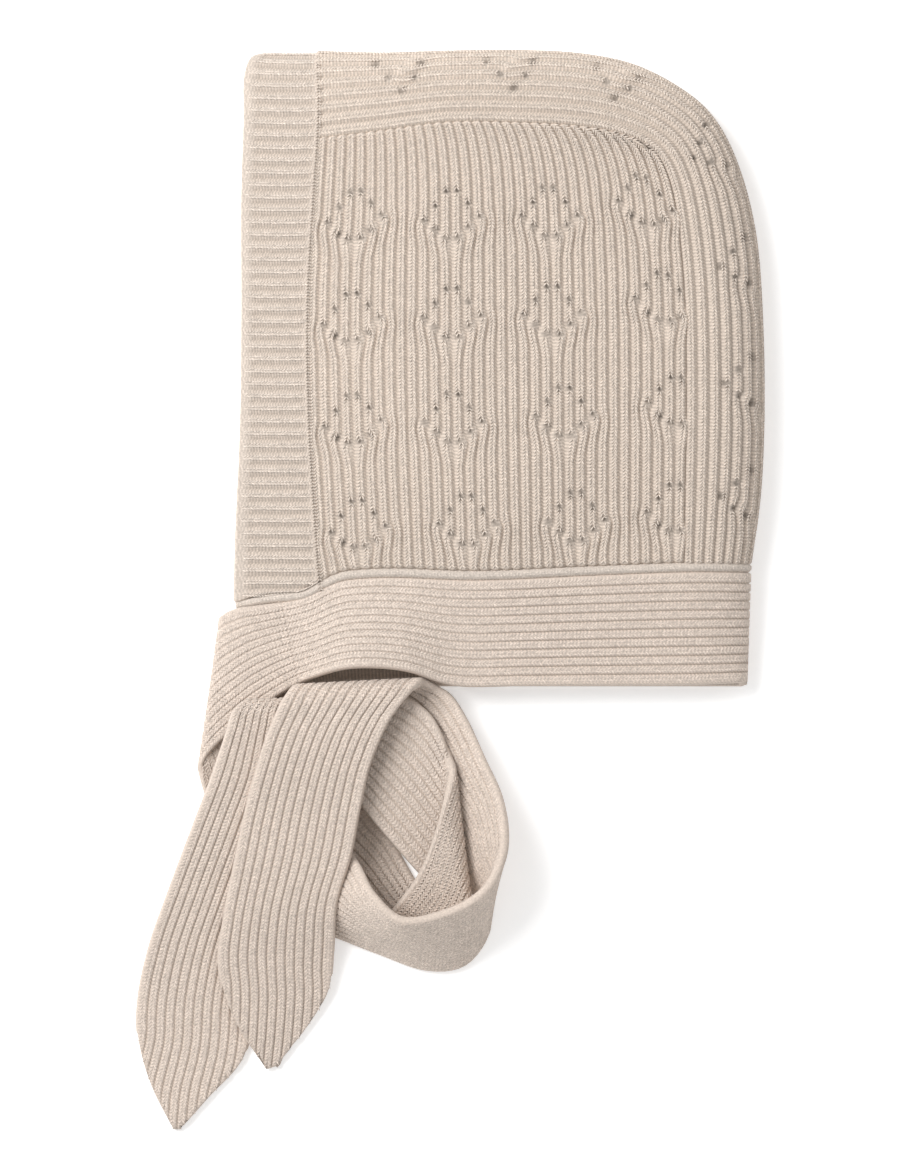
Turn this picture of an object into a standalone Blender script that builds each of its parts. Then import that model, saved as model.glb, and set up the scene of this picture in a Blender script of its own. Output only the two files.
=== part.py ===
"""A baby bonnet of fine wool rib, lying on its side with its long ties looped in front of the neck.

Plan places start at the front neck corner of the bonnet's outline: +X runs to the back of the head,
+Y to the crown and +Z up from the surface that it lies on. At the end everything is moved so that
the middle of the whole box is over the origin.
"""

import math

import bmesh
import bpy
import numpy as np

# Driving sizes, in metres
bonnet_depth = 0.1612
bonnet_height = 0.1953
pile_height = 0.0205
fold_height = 0.0055
crown_round = 0.024
floor_round = 0.012
face_sink_share = 0.50
neck_sink_share = 0.40
panel_wall = 0.0022
strip_wall = 0.0020
rib_relief = 0.0005
strip_width = 0.0332
edge_width = 0.0030
edge_height = 0.0034
edge_proud = 0.0006
seam_gap = 0.0003
edge_gap = 0.0005
tie_gap = 0.0006
side_rib = 0.0036
band_rib = 0.0038
crown_rib = 0.0031
strip_rib = 0.0030

# The folded outline and the seam inside it, from the front band over the crown to the neck edge
# Columns: fold_along, fold_up, seam_along, seam_up
CROWN = (
    (0.146, 1.000, 0.150, 0.860),
    (0.269, 0.997, 0.269, 0.871),
    (0.398, 1.000, 0.398, 0.884),
    (0.533, 1.001, 0.533, 0.883),
    (0.658, 0.995, 0.640, 0.878),
    (0.763, 0.975, 0.715, 0.867),
    (0.860, 0.930, 0.769, 0.849),
    (0.917, 0.879, 0.802, 0.822),
    (0.958, 0.802, 0.825, 0.770),
    (0.985, 0.706, 0.840, 0.683),
    (0.996, 0.595, 0.848, 0.587),
    (1.000, 0.452, 0.850, 0.452),
    (0.994, 0.310, 0.848, 0.310),
    (0.975, 0.190, 0.846, 0.190),
)
CORNER_ROW = 6

# The front band, from its folded top down to the neck edge
# Columns: up, face_along, seam_along
BAND = (
    (0.997, 0.030, 0.146),
    (0.980, 0.017, 0.147),
    (0.903, 0.010, 0.150),
    (0.781, 0.004, 0.141),
    (0.598, 0.004, 0.129),
    (0.429, 0.002, 0.131),
    (0.246, -0.006, 0.144),
    (0.160, -0.009, 0.152),
    (0.120, -0.009, 0.158),
)

# The line of the rolled edge, from the face to the back
# Columns: along, up
EDGE = (
    (-0.010, 0.124),
    (0.052, 0.135),
    (0.129, 0.144),
    (0.160, 0.159),
    (0.196, 0.171),
    (0.230, 0.174),
    (0.456, 0.172),
    (0.687, 0.180),
    (0.879, 0.185),
    (0.975, 0.184),
)

# The neckband's lower edge and how far it is lifted off its plain lie, in strip widths
# Columns: top_along, low_along, low_up, top_lift, low_lift
NECK = (
    (0.975, 0.968, 0.006, 0.00, 0.00),
    (0.860, 0.860, 0.003, 0.00, 0.00),
    (0.690, 0.690, 0.002, 0.00, 0.00),
    (0.540, 0.540, 0.001, 0.00, 0.00),
    (0.410, 0.410, 0.001, 0.00, 0.00),
    (0.300, 0.310, 0.025, 0.00, 0.14),
    (0.190, 0.205, 0.028, 0.00, 0.20),
    (0.080, 0.112, 0.006, 0.00, 0.06),
)

# The ties: both edges of the ribbon at each section past the neckband, in strip widths from the
# corner under the front of the neck edge, with the height of the ribbon's middle
# Columns: top_x, top_y, top_z, low_x, low_y, low_z
TIE_NEAR = (
    (0.17, -0.03, 0.30, 0.36, -0.84, 0.29),
    (0.02, -0.05, 0.30, 0.02, -1.10, 0.29),
    (-0.12, -0.14, 0.25, -0.32, -1.51, 0.25),
    (-0.06, -0.22, 0.21, -0.28, -1.75, 0.21),
    (0.20, -0.70, 0.21, -0.14, -1.92, 0.20),
    (0.56, -1.36, 0.20, 0.02, -2.22, 0.16),
    (0.97, -2.17, 0.19, 0.26, -2.74, 0.11),
    (1.14, -2.42, 0.42, 0.49, -2.98, 0.04),
    (1.27, -2.66, 0.70, 0.83, -3.04, 0.04),
    (1.53, -2.90, 0.80, 1.32, -3.22, 0.04),
    (1.82, -2.88, 0.80, 1.79, -3.38, 0.04),
    (2.17, -2.74, 0.79, 2.14, -3.32, 0.04),
    (2.38, -2.54, 0.78, 2.33, -3.02, 0.045),
    (2.48, -2.30, 0.76, 2.30, -2.80, 0.055),
    (2.50, -2.08, 0.71, 2.14, -2.56, 0.06),
    (2.45, -1.78, 0.60, 2.00, -2.28, 0.06),
    (2.31, -1.45, 0.45, 1.72, -1.98, 0.06),
    (2.14, -1.08, 0.32, 1.37, -1.54, 0.09),
    (1.97, -0.83, 0.25, 0.95, -1.18, 0.20),
    (1.83, -0.75, 0.30, 0.66, -0.87, 0.255),
    (1.74, -0.71, 0.39, 0.57, -0.77, 0.41),
    (1.68, -0.74, 0.51, 0.50, -0.82, 0.55),
    (1.44, -1.02, 0.56, 0.34, -1.14, 0.58),
    (1.24, -1.46, 0.53, 0.22, -1.50, 0.56),
    (1.15, -1.84, 0.49, 0.12, -1.86, 0.50),
    (1.06, -2.31, 0.45, 0.01, -2.37, 0.42),
    (0.92, -2.80, 0.37, -0.10, -2.92, 0.30),
    (0.89, -3.24, 0.18, -0.15, -3.34, 0.22),
    (0.85, -3.57, 0.09, -0.09, -3.64, 0.18),
    (0.66, -3.90, 0.05, 0.06, -3.98, 0.14),
    (0.37, -4.28, 0.04, 0.28, -4.31, 0.04),
)
TIE_FAR = (
    (0.22, -0.03, 0.04, 0.40, -0.84, 0.04),
    (0.12, -0.08, 0.045, 0.10, -1.16, 0.045),
    (0.04, -0.15, 0.083, -0.17, -1.50, 0.083),
    (0.10, -0.26, 0.125, -0.12, -1.76, 0.125),
    (0.36, -0.70, 0.125, 0.04, -2.04, 0.085),
    (0.77, -1.22, 0.10, 0.24, -2.36, 0.05),
    (1.18, -1.90, 0.06, 0.44, -2.52, 0.04),
    (1.45, -2.23, 0.04, 0.82, -2.88, 0.04),
    (1.72, -2.68, 0.05, 1.06, -3.00, 0.04),
    (2.04, -3.03, 0.14, 1.26, -3.06, 0.13),
    (2.13, -2.98, 0.27, 1.47, -2.84, 0.28),
    (2.15, -2.98, 0.29, 1.72, -2.50, 0.37),
    (2.17, -2.98, 0.29, 1.86, -2.14, 0.44),
    (2.18, -2.97, 0.28, 1.96, -1.76, 0.48),
    (2.18, -2.95, 0.23, 2.01, -1.54, 0.44),
    (2.08, -2.86, 0.18, 1.98, -1.42, 0.38),
    (1.82, -2.60, 0.18, 1.92, -1.24, 0.365),
    (1.50, -2.24, 0.23, 1.79, -1.02, 0.36),
    (1.18, -1.86, 0.29, 1.54, -0.86, 0.35),
    (0.78, -1.36, 0.34, 1.20, -0.88, 0.345),
    (0.40, -1.12, 0.36, 0.98, -0.91, 0.345),
    (0.16, -0.95, 0.39, 0.86, -0.91, 0.355),
    (0.09, -0.90, 0.44, 0.80, -0.88, 0.39),
    (0.00, -0.98, 0.48, 0.78, -0.93, 0.435),
    (-0.06, -1.16, 0.48, 0.78, -1.05, 0.44),
    (-0.20, -1.58, 0.46, 0.80, -1.46, 0.435),
    (-0.38, -2.05, 0.38, 0.63, -2.00, 0.38),
    (-0.62, -2.68, 0.22, 0.40, -2.66, 0.25),
    (-0.80, -3.19, 0.12, 0.22, -3.21, 0.12),
    (-0.90, -3.64, 0.06, 0.13, -3.68, 0.07),
    (-0.91, -4.02, 0.04, 0.07, -4.18, 0.04),
    (-0.77, -4.52, 0.04, -0.28, -4.60, 0.04),
    (-0.59, -4.87, 0.04, -0.52, -4.87, 0.04),
)
# Where the ties' places are counted from, as shares of the bonnet's depth and height
TIE_START = (-0.010, 0.125)

# How finely the solids are faceted
panel_rows = 8
plain_columns = 13
band_lines = 3
crown_rows = 15
strip_step = 0.022
strip_turn = math.radians(48)
neck_step = 0.018
edge_step = 0.009
fold_turn = math.radians(27)
edge_sides = 6
section_points = 240


def steps(count):
    return np.linspace(0.0, 1.0, count)


def eased(knots, values, at):
    """Values at the places asked for, on a smooth curve through every row."""
    knots, values = np.asarray(knots, float), np.asarray(values, float)
    at = np.clip(at, knots[0], knots[-1])
    slopes = np.gradient(values, knots, axis=0)
    low = np.clip(np.searchsorted(knots, at, side="right") - 1, 0, len(knots) - 2)
    span = knots[low + 1] - knots[low]
    t = ((at - knots[low]) / span)[:, None]
    span = span[:, None]
    first, last = values[low], values[low + 1]
    return (
        (2 * t**3 - 3 * t**2 + 1) * first
        + (t**3 - 2 * t**2 + t) * span * slopes[low]
        + (3 * t**2 - 2 * t**3) * last
        + (t**3 - t**2) * span * slopes[low + 1]
    )


def travelled(points):
    """How far along a line each of its points lies."""
    return np.concatenate([[0.0], np.cumsum(np.linalg.norm(np.diff(points, axis=0), axis=1))])


def evenly(points, count):
    """The same line with its points spaced evenly."""
    far = travelled(points)
    at = steps(count) * far[-1]
    return np.stack([np.interp(at, far, points[:, axis]) for axis in range(points.shape[1])], axis=1)


def table(rows, *scales):
    """A table's rows with each column turned into metres by its own size."""
    return np.asarray(rows, float) * np.asarray(scales, float)


def smooth_line(points, count):
    points = np.asarray(points, float)
    return eased(travelled(points), points, steps(count) * travelled(points)[-1])


def rounded(distance, radius):
    """How much of its full height a soft folded rim has reached, from 0 at the fold to 1 inside."""
    share = np.clip(np.asarray(distance, float) / radius, 0.0, 1.0)
    return (1.0 - (1.0 - share) ** 2.4) ** (1.0 / 2.4)


def near_top(along, up, inside):
    """Height of the upper side, lower towards the face and the neck, where the bonnet is open."""
    face = 1.0 - face_sink_share * np.clip(1.0 - along / (0.5 * bonnet_depth), 0.0, 1.0) ** 2
    neck = 1.0 - neck_sink_share * np.clip(1.0 - up / (0.45 * bonnet_height), 0.0, 1.1) ** 2
    return fold_height + (pile_height * face * neck - fold_height) * rounded(inside, crown_round)


def far_under(inside):
    """Height of the underside, which lies flat on the surface except round the fold."""
    return fold_height * (1.0 - rounded(inside, floor_round))


def lie(along, up, inside, near):
    height = np.where(near, near_top(along, up, inside), far_under(inside))
    return np.stack([along, up, height], axis=-1)


def over_fold(count):
    """Signed distances from the fold, as shares: 1 on the near side, 0 on the fold, -1 on the far side."""
    share = np.linspace(-1.0, 1.0, count)
    return -np.sign(share) * share**2


def normals_of(grid, facing):
    """Unit normals of a grid of points, turned so that the first one points up or down."""
    down = np.gradient(grid, axis=0)
    across = np.gradient(grid, axis=1)
    normals = np.cross(across, down)
    normals /= np.maximum(np.linalg.norm(normals, axis=2, keepdims=True), 1e-12)
    middle = normals[0, normals.shape[1] // 4]
    return normals if middle[2] * facing > 0 else -normals


def knit_body(name, grid, wall, facing, material, both_faces=False, inner_step=2, middle=False):
    """A closed wall on a grid whose columns run across the ribs, every other one a rib's crest."""
    normals = normals_of(grid, facing)
    crest = (np.arange(grid.shape[1]) % 2 * rib_relief)[None, :, None]
    skin = grid + normals * (wall / 2 if middle else 0.0)
    outer = skin + normals * (crest - rib_relief / 2 if middle else crest)
    back = skin - normals * wall
    if both_faces:
        back = back + normals * (crest - rib_relief / 2)
        inner_step = 1
    picked = list(range(0, grid.shape[1], inner_step))
    if picked[-1] != grid.shape[1] - 1:
        picked.append(grid.shape[1] - 1)
    inner = back[:, picked]
    body = bmesh.new()
    floor = 0.0
    tops = [[body.verts.new((x, y, max(z, floor))) for x, y, z in row] for row in outer]
    backs = [[body.verts.new((x, y, max(z, floor))) for x, y, z in row] for row in inner]
    skin_quads(body, tops)
    skin_quads(body, backs)
    for row in range(len(tops) - 1):
        for side in (0, -1):
            body.faces.new((tops[row][side], tops[row + 1][side], backs[row + 1][side], backs[row][side]))
    for end in (0, -1):
        close_end(body, tops[end], backs[end], picked)
    return finish_body(name, body, material)


def skin_quads(body, grid):
    for first, second in zip(grid, grid[1:]):
        for column in range(len(first) - 1):
            body.faces.new((first[column], first[column + 1], second[column + 1], second[column]))


def close_end(body, tops, backs, picked):
    """Fills an end between the ribbed face's points and the fewer points of the back."""
    for place, (start, stop) in enumerate(zip(picked, picked[1:])):
        for column in range(start, stop):
            body.faces.new((tops[column], tops[column + 1], backs[place]))
        body.faces.new((tops[stop], backs[place + 1], backs[place]))


def finish_body(name, body, material):
    bmesh.ops.triangulate(body, faces=[face for face in body.faces if len(face.verts) > 3])
    bmesh.ops.recalc_face_normals(body, faces=body.faces)
    mesh = bpy.data.meshes.new(name)
    body.to_mesh(mesh)
    body.free()
    mesh.shade_smooth()
    mesh.set_sharp_from_angle(angle=math.radians(60))
    piece = bpy.data.objects.new(name, mesh)
    piece.data.materials.append(material)
    bpy.context.scene.collection.objects.link(piece)
    return piece


def wool(name, colour):
    material = bpy.data.materials.new(name)
    material.use_nodes = True
    shader = material.node_tree.nodes["Principled BSDF"]
    shader.inputs["Base Color"].default_value = (*colour, 1.0)
    shader.inputs["Roughness"].default_value = 0.95
    return material


def by_bend(rows, step, turn):
    """Rows of one or more points along a path, picked closer together where the path bends."""
    sides = [rows[:, first:first + 3] for first in range(0, rows.shape[1], 3)]
    effort = np.zeros(len(rows))
    for side in sides:
        way = np.gradient(side, axis=0)
        way /= np.maximum(np.linalg.norm(way, axis=1, keepdims=True), 1e-12)
        bend = np.arccos(np.clip((way[1:] * way[:-1]).sum(1), -1, 1))
        ahead = np.linalg.norm(np.diff(side, axis=0), axis=1)
        effort[1:] += (ahead / step + bend / turn) / len(sides)
    effort = np.cumsum(effort)
    at = np.interp(steps(math.ceil(effort[-1]) + 1) * effort[-1], effort, np.arange(len(rows)))
    return np.stack([np.interp(at, np.arange(len(rows)), column) for column in rows.T], axis=1)


def edge_line(count):
    """The rolled edge's line on the near side, from the face to the back fold."""
    return smooth_line(table(EDGE, bonnet_depth, bonnet_height), count)


def edge_up(along):
    line = edge_line(60)
    return np.interp(along, line[:, 0], line[:, 1])


def crown_lines(count):
    """The crown strip's fold line and seam line, with as many points each."""
    rows = table(CROWN, bonnet_depth, bonnet_height, bonnet_depth, bonnet_height)
    return eased(np.arange(len(rows)), rows, steps(count) * (len(rows) - 1))


def seam_part(first_row, last_row, count):
    rows = table(CROWN, bonnet_depth, bonnet_height, bonnet_depth, bonnet_height)
    at = first_row + steps(count) * (last_row - first_row)
    return eased(np.arange(len(rows)), rows, at)[:, 2:]


def coons(top, low, left, right):
    """A patch of plan points between four edges, its rows running from the top to the low edge."""
    across = steps(len(top))[None, :, None]
    down = steps(len(left))[:, None, None]
    corners = (
        (1 - across) * (1 - down) * top[0]
        + across * (1 - down) * top[-1]
        + (1 - across) * down * low[0]
        + across * down * low[-1]
    )
    return (
        (1 - down) * top[None] + down * low[None]
        + (1 - across) * left[:, None] + across * right[:, None]
        - corners
    )


def side_patch(columns, rows):
    """Plan places of a side panel, its columns running from the crown seam to the neck edge."""
    clear = edge_width / 2 + edge_gap
    top = evenly(seam_part(0, CORNER_ROW, 40), columns)
    right = evenly(seam_part(CORNER_ROW, len(CROWN) - 1, 40), rows)
    top[:, 1] -= seam_gap
    right[:, 0] -= seam_gap
    right[0] = top[-1]
    band = table(BAND, bonnet_height, bonnet_depth, bonnet_depth)
    seam = np.stack([band[:, 2], band[:, 0]], axis=1)
    seam = smooth_line(seam, 60)
    up_at_low = edge_up(band[-2, 2]) + clear
    left_up = top[0, 1] + steps(rows) * (up_at_low - top[0, 1])
    left_along = np.interp(left_up, seam[::-1, 1], seam[::-1, 0])
    left = np.stack([left_along, left_up], axis=1)
    top[:, 0] += (left[0, 0] - top[0, 0]) * (1 - steps(columns))
    low_along = left[-1, 0] + steps(columns) * (right[-1, 0] - left[-1, 0])
    low = np.stack([low_along, edge_up(low_along) + clear], axis=1)
    right[:, 1] += (low[-1, 1] - right[-1, 1]) * steps(rows)
    return coons(top, low, left, right)


def rib_columns(width, rib):
    return 2 * max(2, round(width / rib)) + 1


def make_side_panel(near, material):
    ribbed = rib_columns(0.70 * bonnet_depth, side_rib)
    plan = side_patch(ribbed if near else plain_columns, panel_rows)
    inside = np.full(plan.shape[:2], crown_round)
    grid = lie(plan[..., 0], plan[..., 1], inside, near)
    name = "side_panel_near" if near else "side_panel_far"
    return knit_body(name, grid, panel_wall, 1 if near else -1, material, inner_step=6 if near else 1)


def make_centre_panel(material):
    lines = crown_lines(crown_rows)
    clear = edge_width / 2 + edge_gap
    lines[-1, 1] = edge_up(lines[-1, 0]) + clear
    lines[-1, 3] = edge_up(lines[-1, 2]) + clear
    lines[0, [0, 2]] += seam_gap
    shares = over_fold(section_points)
    reach = np.linalg.norm(lines[:, 2:] - lines[:, :2], axis=1)
    columns = rib_columns(2 * reach.mean(), crown_rib)
    rows = []
    for line, width in zip(lines, reach):
        from_fold = np.abs(shares) * (1.0 - seam_gap / width)
        plan = line[:2] + from_fold[:, None] * (line[2:] - line[:2])
        section = lie(plan[:, 0], plan[:, 1], from_fold * width, shares > 0)
        rows.append(evenly(section, columns))
    return knit_body("centre_panel", np.array(rows), panel_wall, 1, material, inner_step=2)


def make_front_band(material):
    rows = table(BAND, bonnet_height, bonnet_depth, bonnet_depth)
    rows = smooth_line(rows, 60)
    top = rows[0, 0]
    shares = over_fold(section_points)
    lines = []
    for across in steps(band_lines):
        face, seam = rows[:, 1], rows[:, 2] - seam_gap
        along_at = face + across * (seam - face)
        low = edge_up(along_at[-1]) + edge_width / 2 + edge_gap
        up = top - np.abs(shares) * (top - low)
        along = np.interp(up, rows[::-1, 0], along_at[::-1])
        lines.append(lie(along, up, top - up, shares > 0))
    columns = rib_columns(travelled(lines[0])[-1], band_rib)
    grid = np.array([evenly(line, columns) for line in lines])
    return knit_body("front_band", grid, panel_wall, 1, material, inner_step=4)


def neck_sections(near):
    """The neckband's two edges from the back fold to the front corner, as rows of x, y, z, x, y, z."""
    rows = np.asarray(NECK, float)
    fine = np.concatenate([steps(60)[:-1] ** 2, np.linspace(1, len(rows) - 1, 200)])
    rows = eased(np.arange(len(rows)), rows, fine)
    top_along, low_along = rows[:, 0] * bonnet_depth, rows[:, 1] * bonnet_depth
    top = lie(top_along, edge_up(top_along) - edge_width / 2 - edge_gap, top_along[0] - top_along, near)
    low_up = rows[:, 2] * bonnet_height if near else np.zeros(len(rows))
    low = lie(low_along, low_up, low_along[0] - low_along, near)
    inwards = -strip_wall / 2 if near else strip_wall / 2
    for edge, lift in ((top, rows[:, 3]), (low, rows[:, 4])):
        settled = rounded(edge[0, 0] - edge[:, 0], floor_round)
        edge[:, 2] += inwards * settled + near * lift * strip_width
        edge[:, 0] -= strip_wall / 2 * (1 - settled)
    return np.concatenate([top, low], axis=1)


def across_strip(rows, columns):
    share = steps(columns)[None, :, None]
    return rows[:, None, :3] * (1 - share) + rows[:, None, 3:] * share


def make_neckband(material):
    rows = np.concatenate([neck_sections(True)[::-1], neck_sections(False)[1:]])
    grid = across_strip(by_bend(rows, neck_step, fold_turn), rib_columns(strip_width, strip_rib))
    return knit_body("neckband", grid, strip_wall, 1, material, inner_step=4, middle=True)


def make_tie(name, near, rows, material):
    start = np.array([TIE_START[0] * bonnet_depth, TIE_START[1] * bonnet_height, 0.0])
    rows = table(rows, *([strip_width] * 6)) + np.concatenate([start, start])
    rows = np.concatenate([neck_sections(near)[-1:], rows])
    moved = (np.linalg.norm(np.diff(rows[:, :3], axis=0), axis=1)
             + np.linalg.norm(np.diff(rows[:, 3:], axis=0), axis=1)) / 2
    knots = np.concatenate([[0.0], np.cumsum(moved)])
    fine = eased(knots, rows, np.linspace(tie_gap, knots[-1], 900))
    grid = across_strip(by_bend(fine, strip_step, strip_turn), rib_columns(strip_width, strip_rib))
    return knit_body(name, grid, strip_wall, 1 if near else -1, material, both_faces=True, middle=True)


def make_neck_edge(material):
    """The rolled edge, a slim oval cord laid from the near corner round the back to the far one."""
    line = edge_line(60)
    shares = over_fold(section_points)
    along = line[-1, 0] - np.abs(shares) * (line[-1, 0] - line[0, 0])
    centre = by_bend(lie(along, edge_up(along), line[-1, 0] - along, shares > 0), edge_step, fold_turn)
    way = np.gradient(centre, axis=0)
    way /= np.linalg.norm(way, axis=1, keepdims=True)
    side = np.array([0.0, 1.0, 0.0]) - way * way[:, 1:2]
    side /= np.linalg.norm(side, axis=1, keepdims=True)
    out = np.cross(side, way)
    out *= np.sign(out[0, 2])
    middle = centre + out * (edge_proud - edge_height / 2)
    body = bmesh.new()
    rings = []
    for place, sideways, outwards in zip(middle, side, out):
        angles = 2 * math.pi * (np.arange(edge_sides) + 0.5) / edge_sides
        ring = (place + sideways * np.cos(angles)[:, None] * edge_width / 2
                + outwards * np.sin(angles)[:, None] * edge_height / 2)
        rings.append([body.verts.new((x, y, max(z, 0.0))) for x, y, z in ring])
    for first, second in zip(rings, rings[1:]):
        for corner in range(edge_sides):
            after = (corner + 1) % edge_sides
            body.faces.new((first[corner], first[after], second[after], second[corner]))
    body.faces.new(rings[0])
    body.faces.new(rings[-1])
    return finish_body("neck_edge", body, material)


def centre_on_floor(pieces):
    """Moves every mesh so that the middle of the whole box is over the origin."""
    points = np.array([vertex.co for piece in pieces for vertex in piece.data.vertices])
    low, high = points.min(axis=0), points.max(axis=0)
    move = ((low[0] + high[0]) / 2, (low[1] + high[1]) / 2, low[2])
    for piece in pieces:
        for vertex in piece.data.vertices:
            vertex.co -= type(vertex.co)(move)


def main():
    for item in list(bpy.data.objects):
        bpy.data.objects.remove(item)
    panel = wool("panel wool", (0.66, 0.57, 0.49))
    band = wool("band wool", (0.68, 0.59, 0.51))
    strip = wool("strip wool", (0.62, 0.53, 0.45))
    pieces = [
        make_side_panel(True, panel),
        make_side_panel(False, panel),
        make_centre_panel(panel),
        make_front_band(band),
        make_neck_edge(band),
        make_neckband(strip),
        make_tie("tie_near", True, TIE_NEAR, strip),
        make_tie("tie_far", False, TIE_FAR, strip),
    ]
    centre_on_floor(pieces)


main()
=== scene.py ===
"""The knitted baby bonnet as the photo shows it, with ribs, stitches and leaves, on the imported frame."""

import math

import bmesh
import bpy
import numpy as np
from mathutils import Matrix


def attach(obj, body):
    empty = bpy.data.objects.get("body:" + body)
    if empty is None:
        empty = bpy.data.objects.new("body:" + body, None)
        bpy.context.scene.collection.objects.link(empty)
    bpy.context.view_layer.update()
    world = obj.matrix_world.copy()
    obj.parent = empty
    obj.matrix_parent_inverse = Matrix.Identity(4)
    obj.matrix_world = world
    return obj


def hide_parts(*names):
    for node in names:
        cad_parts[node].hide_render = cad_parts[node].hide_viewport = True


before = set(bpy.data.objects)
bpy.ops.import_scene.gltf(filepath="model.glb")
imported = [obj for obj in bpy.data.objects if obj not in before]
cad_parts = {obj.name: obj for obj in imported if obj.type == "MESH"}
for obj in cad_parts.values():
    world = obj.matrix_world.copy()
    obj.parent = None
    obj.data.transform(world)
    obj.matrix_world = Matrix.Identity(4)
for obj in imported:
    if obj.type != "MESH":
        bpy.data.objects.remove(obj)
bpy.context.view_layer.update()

# Sizes of the bonnet, in metres
bonnet_depth = 0.1612
bonnet_height = 0.1953
pile_height = 0.0205
fold_height = 0.0055
crown_round = 0.024
floor_round = 0.012
face_sink_share = 0.50
neck_sink_share = 0.40
panel_wall = 0.0022
strip_wall = 0.0020
strip_width = 0.0332
edge_width = 0.0030
edge_height = 0.0034
edge_proud = 0.0006
seam_gap = 0.0001
seam_overlap = 0.0003
edge_gap = 0.0005

# The knitting, in metres
stitch_length = 0.0010
strip_stitch = 0.0011
tightest_stitched = 0.003
side_pitch = 0.00342
band_pitch = 0.0038
crown_pitch = 0.0031
panel_relief = 0.0010
strip_relief = 0.0007
strip_ribs = 12
fine_points = 1200
joint_reach = 0.006
point_length = 0.034
merge_distance = 0.00003
side_ribs = 34
crown_ribs = 16
band_ribs = 90
edge_stitch_width = 0.0019
edge_stitch_sink = 0.0002
seam_stitch_width = 0.0036
seam_stitch_lift = 0.0005
# Where a rib's points lie across it, as shares of the pitch, with the groove at 0
RIB_POINTS = (0.0, 0.09, 0.22, 0.5, 0.78, 0.91)
# How steeply a rib's sides rise: a high power gives a broad flat ridge and a thin groove
panel_ridge = 1.9
band_ridge = 1.4
strip_ridge = 6.0
# How far a rim bulges past its wall, as a share of the wall, and how far up the relief stitches lie
rim_bulge = 0.22
stitch_lift = 0.42
# Stitches that look further down than this are left out
lowest_facing = -0.35
# How much of the ribs' relief is felted away under the loop and worn off at the front of the neck
felted_share = 0.5
worn_share = 0.10
# What a strip's and the front band's stitches have otherwise than the panels'
STRIP_STITCHES = {"Leg_length": 0.60, "Spread": 0.19, "Leg_height": 0.14}
BAND_STITCHES = {"Leg_length": 0.38, "Spread": 0.11, "Lean": 0.34, "Leg_height": 0.13}

# The folded outline and the seam inside it, from the front band over the crown to the neck edge
# Columns: fold_along, fold_up, seam_along, seam_up
CROWN = (
    (0.146, 1.000, 0.150, 0.860),
    (0.269, 0.997, 0.269, 0.871),
    (0.398, 1.000, 0.398, 0.884),
    (0.533, 1.001, 0.533, 0.883),
    (0.658, 0.995, 0.640, 0.878),
    (0.763, 0.975, 0.715, 0.867),
    (0.860, 0.930, 0.769, 0.849),
    (0.917, 0.879, 0.802, 0.822),
    (0.958, 0.802, 0.825, 0.770),
    (0.985, 0.706, 0.840, 0.683),
    (0.996, 0.595, 0.848, 0.587),
    (1.000, 0.452, 0.850, 0.452),
    (0.994, 0.310, 0.848, 0.310),
    (0.975, 0.190, 0.846, 0.190),
)
CORNER_ROW = 6

# The front band, from its folded top down to the neck edge
# Columns: up, face_along, seam_along
BAND = (
    (0.997, 0.040, 0.146),
    (0.990, 0.020, 0.147),
    (0.972, 0.012, 0.148),
    (0.903, 0.009, 0.150),
    (0.781, 0.004, 0.141),
    (0.598, 0.004, 0.129),
    (0.429, 0.002, 0.131),
    (0.246, -0.006, 0.144),
    (0.160, -0.009, 0.152),
    (0.120, -0.009, 0.158),
)

# The line of the rolled edge, from the face to the back
# Columns: along, up
EDGE = (
    (-0.010, 0.124),
    (0.052, 0.135),
    (0.129, 0.144),
    (0.160, 0.159),
    (0.196, 0.171),
    (0.230, 0.174),
    (0.456, 0.172),
    (0.687, 0.180),
    (0.879, 0.185),
    (0.975, 0.184),
)

# The neckband's lower edge and how far it is lifted off its plain lie, in strip widths
# Columns: top_along, low_along, low_up, top_lift, low_lift
NECK = (
    (0.975, 0.968, 0.006, 0.00, 0.00),
    (0.860, 0.860, 0.003, 0.00, 0.00),
    (0.690, 0.690, 0.002, 0.00, 0.00),
    (0.540, 0.540, 0.001, 0.00, 0.00),
    (0.410, 0.410, 0.001, 0.00, 0.00),
    (0.300, 0.310, 0.025, 0.00, 0.14),
    (0.190, 0.205, 0.028, 0.00, 0.20),
    (0.080, 0.112, 0.006, 0.00, 0.06),
)

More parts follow.
